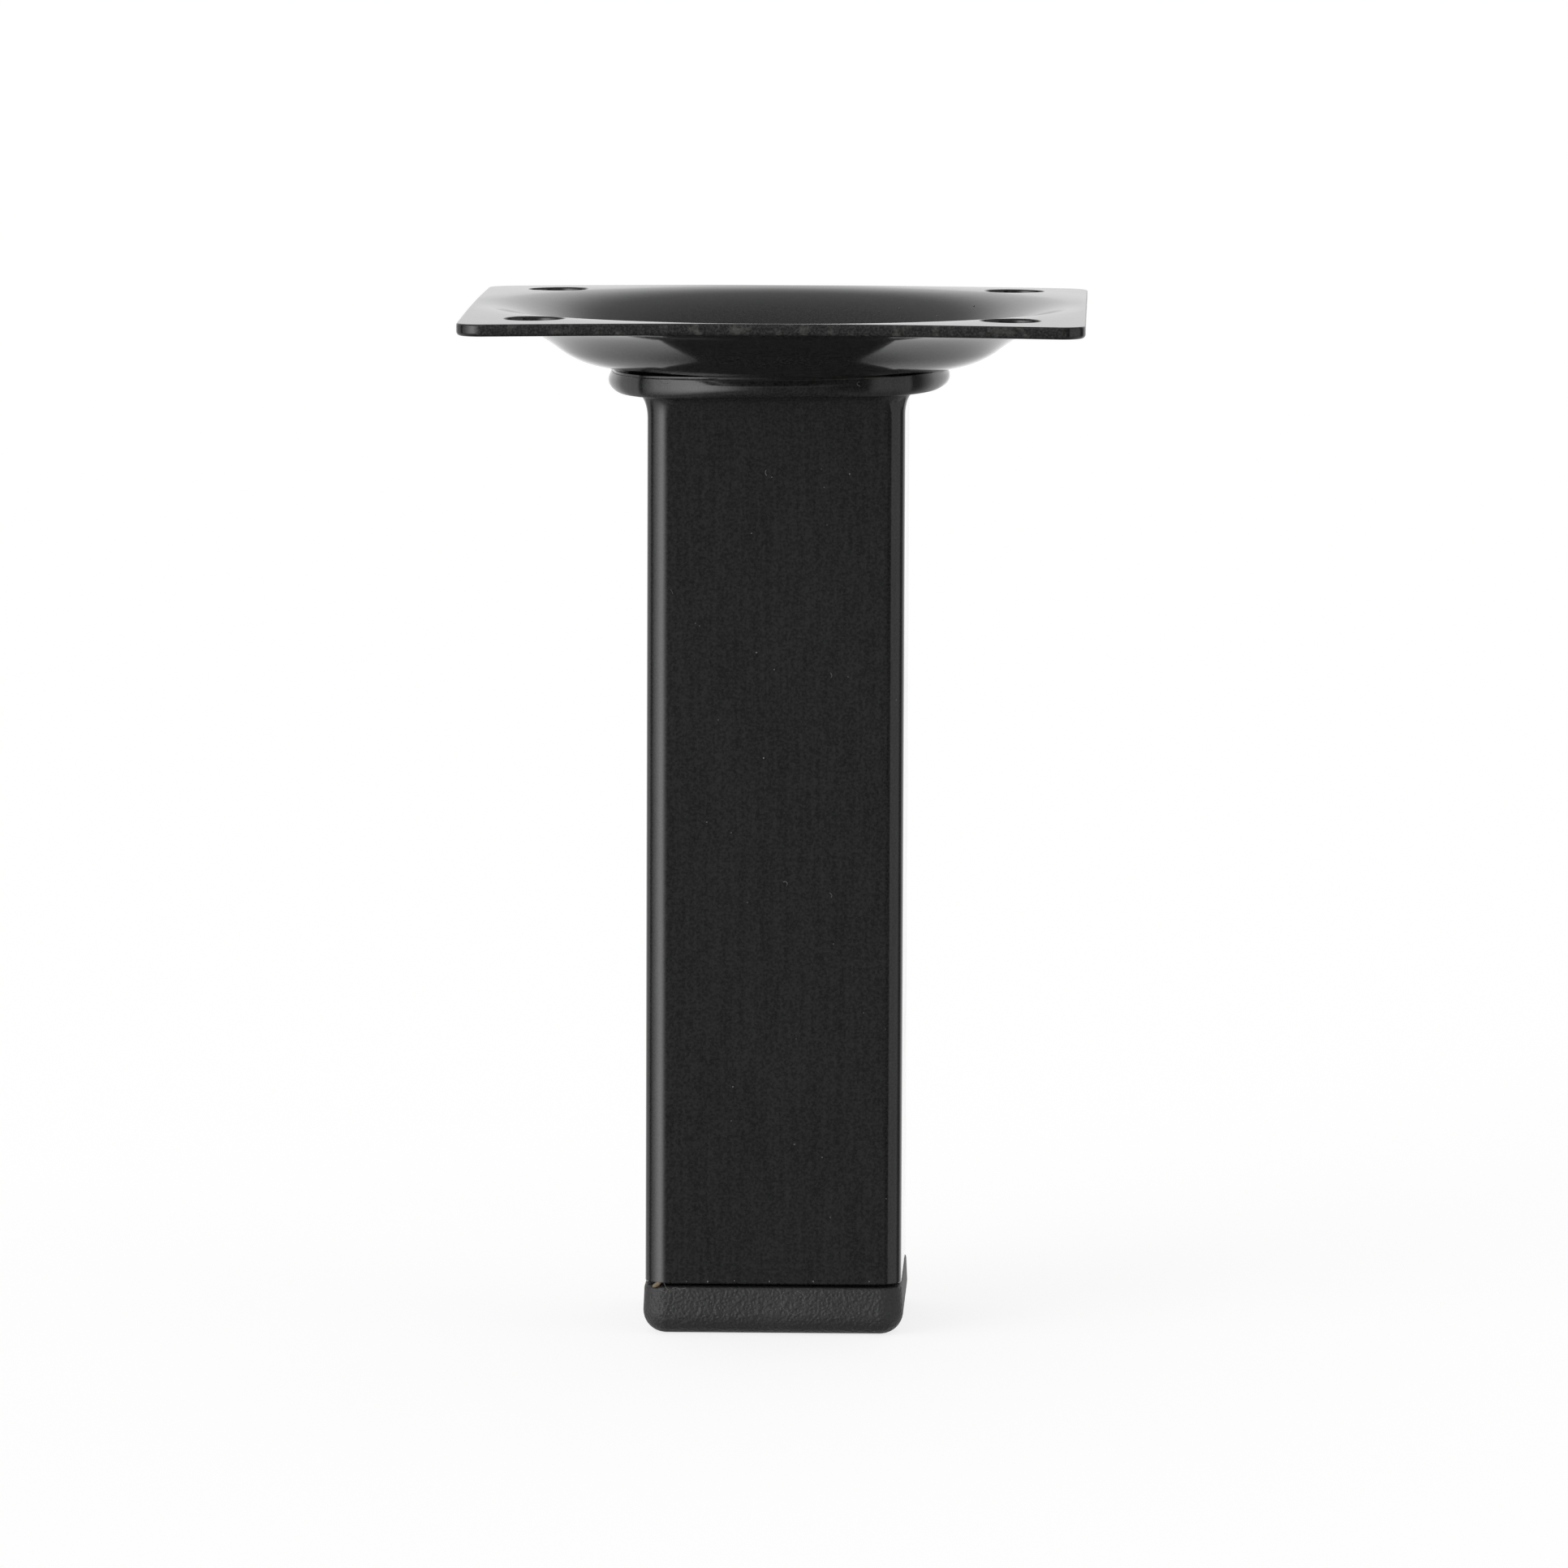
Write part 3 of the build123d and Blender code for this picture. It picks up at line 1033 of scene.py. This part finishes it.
SENSOR_WIDTH = 36
lens = bpy.data.cameras.new("camera")
lens.sensor_width = SENSOR_WIDTH
lens.lens = FOCAL_PIXELS / IMAGE_SIZE * SENSOR_WIDTH
lens.clip_start = 0.01
camera = bpy.data.objects.new("camera", lens)
bpy.context.scene.collection.objects.link(camera)
axes = Matrix((right_axis, up_axis, -forward_axis)).transposed()
camera.matrix_world = Matrix.Translation(camera_place) @ axes.to_4x4()
bpy.context.scene.camera = camera
bpy.context.scene.view_settings.view_transform = "Standard"
print("lens", round(lens.lens, 1), "mm")

# %% [markdown]
# ## What has settled on it
#
# The photograph shows the leg as it came from its box: a chip of packing in
# the gap above the glide, a few loose fibres, and specks of dust. They are
# placed where the picture shows them. Each place is a pixel of the photograph,
# and a ray from the camera through it finds the spot on the leg.

# %% From a pixel of the photograph to a spot on the leg
IMAGE_CENTRE = IMAGE_SIZE / 2


def spot(across, down, lift=0.0):
    """The place on the leg that a pixel of the photograph shows, raised off it by a distance."""
    ray = forward_axis + (across - IMAGE_CENTRE) / FOCAL_PIXELS * right_axis
    ray = (ray - (down - IMAGE_CENTRE) / FOCAL_PIXELS * up_axis).normalized()
    hits = []
    for piece in (tube, plate, cap):
        found, place, normal = piece.ray_cast(camera_place, ray)[:3]
        if found:
            hits.append(((place - camera_place).length, place + normal * lift))
    return min(hits)[1]


DIRT_SCALE = 2500
DIRT_DARKER = 0.55
DIRT_ROUGHNESS = 0.9


def dirt_material(name, colour):
    """A plain matt material, a little uneven in colour."""
    material, shader, place = new_material(name)
    uneven = noise(place, DIRT_SCALE, 2)
    darker = tuple(DIRT_DARKER * channel for channel in colour)
    plug(shader, "Base Color", uneven.smooth(*NOISE_RANGE).mix((*darker, 1), (*colour, 1)))
    shader.inputs["Roughness"].default_value = DIRT_ROUGHNESS
    return material


lint = dirt_material("lint", (0.34, 0.34, 0.32))
grit = dirt_material("grit", (0.30, 0.29, 0.27))
card = dirt_material("packing_chip", (0.42, 0.33, 0.22))
print("dirt materials", lint.name, grit.name, card.name)

# %% [markdown]
# A fibre is a curve through three or more spots on the leg, with a round
# section. It becomes a mesh before it is finished, as every piece is one.

# %% Fibres
FIBRE_RADIUS = 0.018 * MM
THIN_FIBRE_RADIUS = 0.012 * MM


def add_fibre(name, pixels, radius):
    """Draw one fibre as a curve with a round section, and turn it into a mesh."""
    bpy.ops.object.select_all(action="DESELECT")
    bpy.ops.curve.primitive_bezier_curve_add()
    fibre = bpy.context.active_object
    spline = fibre.data.splines[0]
    spline.bezier_points.add(len(pixels) - len(spline.bezier_points))
    for point, (across, down) in zip(spline.bezier_points, pixels):
        point.co = spot(across, down, radius)
        point.handle_left_type = "AUTO"
        point.handle_right_type = "AUTO"
    fibre.data.resolution_u = 4
    fibre.data.bevel_depth = radius
    fibre.data.bevel_resolution = 1
    fibre.data.use_fill_caps = True
    bpy.ops.object.convert(target="MESH")
    fibre.name = name
    fibre.data.name = name
    bpy.ops.object.mode_set(mode="EDIT")
    bpy.ops.mesh.select_all(action="SELECT")
    bpy.ops.mesh.normals_make_consistent(inside=False)
    bpy.ops.object.mode_set(mode="OBJECT")
    fibre.data.materials.append(lint)
    return fibre


FIBRE_PIXELS = {
    "fibre_on_ring": [(813, 466), (815, 471), (820, 473), (825, 471)],
    "fibre_hook_on_ring": [(1059, 470), (1056, 473), (1060, 476)],
    "fibre_v_left": [(817, 1578), (822, 1588), (826, 1590), (830, 1587), (838, 1588)],
    "fibre_long_left": [(812, 1588), (820, 1592), (830, 1590), (845, 1587)],
    "fibre_ring_on_cap": [
        (966, 1592), (963, 1598), (963, 1606), (966, 1613), (972, 1617), (979, 1620), (986, 1617),
        (991, 1610), (992, 1602), (989, 1595), (982, 1591),
    ],
    "fibre_high_left": [(826, 726), (828, 729), (829, 732)],
    "fibre_middle": [(1023, 829), (1025, 832), (1024, 835)],
    "fibre_low": [(1022, 1100), (1025, 1103), (1024, 1106)],
    "fibre_arc": [(965, 1087), (968, 1086), (970, 1089), (969, 1092)],
    "fibre_under_ring": [(944, 579), (943, 583), (945, 586)],
}
THIN_FIBRE = "fibre_ring_on_cap"

fibres = []
for name, pixels in FIBRE_PIXELS.items():
    radius = THIN_FIBRE_RADIUS if name == THIN_FIBRE else FIBRE_RADIUS
    fibres.append(add_fibre(name, pixels, radius))
print("fibres", len(fibres), "faces in the longest", max(len(fibre.data.polygons) for fibre in fibres))

# %% [markdown]
# The specks are small grains, partly sunk where they lie: on the tube, in the
# dish, and along the tube's cut end above the gap. Each is stretched a little
# by chance, and the seed keeps that chance the same on every run.

# %% Specks
SPECKS_ON_TUBE = [
    (951, 588), (1012, 578), (1047, 584), (926, 657), (1019, 647), (857, 768), (862, 771),
    (932, 804), (856, 812), (954, 825), (1045, 834), (885, 887), (941, 934), (871, 1013),
    (901, 1026), (921, 1112), (1027, 1163), (1064, 1248), (1091, 1268), (981, 1280), (903, 1339),
    (901, 1381), (979, 1410), (1013, 1426), (1092, 1477), (1023, 1500),
]
SPECKS_IN_DISH = [(1200, 377), (1155, 389), (1108, 380), (1083, 384)]
SPECKS_AT_GAP = [(846, 1579), (872, 1579), (905, 1578), (948, 1579), (1002, 1579), (1071, 1579)]
SPECK_RADIUS = 0.07 * MM
SPECK_LIFT = 0.3
SPECK_SIZES = (0.7, 1.3)
SPECK_STRETCH = (0.6, 1.3)
SPECK_FLATTEN = (0.6, 1.0)

specks = start_piece("dust_specks")
random.seed(12)
for across, down in SPECKS_ON_TUBE + SPECKS_IN_DISH + SPECKS_AT_GAP:
    bpy.ops.mesh.select_all(action="DESELECT")
    size = SPECK_RADIUS * random.uniform(*SPECK_SIZES)
    place = spot(across, down, SPECK_LIFT * size)
    bpy.ops.mesh.primitive_ico_sphere_add(subdivisions=1, radius=size, location=place)
    stretched = [random.uniform(*limits) for limits in (SPECK_STRETCH, SPECK_FLATTEN, SPECK_STRETCH)]
    bpy.ops.transform.resize(value=stretched, center_override=place)
bpy.ops.object.mode_set(mode="OBJECT")
specks.data.materials.append(grit)
print("faces in the specks", len(specks.data.polygons))

# %% [markdown]
# The chip is a crumb of brown packing card that is caught in the gap at the
# left corner. It is a ball, flattened and turned.

# %% The chip
CHIP_PIXEL = (809, 1589)
CHIP_OFFSET = Vector((0, -0.02, 0.5)) * MM
CHIP_SIZE = (0.48, 0.2, 0.22)
CHIP_TURN = 28
chip = start_piece("packing_chip")
chip_place = spot(*CHIP_PIXEL) + CHIP_OFFSET
bpy.ops.mesh.primitive_ico_sphere_add(subdivisions=2, radius=MM, location=chip_place)
bpy.ops.transform.resize(value=CHIP_SIZE, center_override=chip_place)
bpy.ops.transform.rotate(value=math.radians(CHIP_TURN), orient_axis="Y", center_override=chip_place)
bpy.ops.object.mode_set(mode="OBJECT")
chip.data.materials.append(card)
for piece in fibres + [specks, chip]:
    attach(piece, "root")
print("faces in the chip", len(chip.data.polygons))
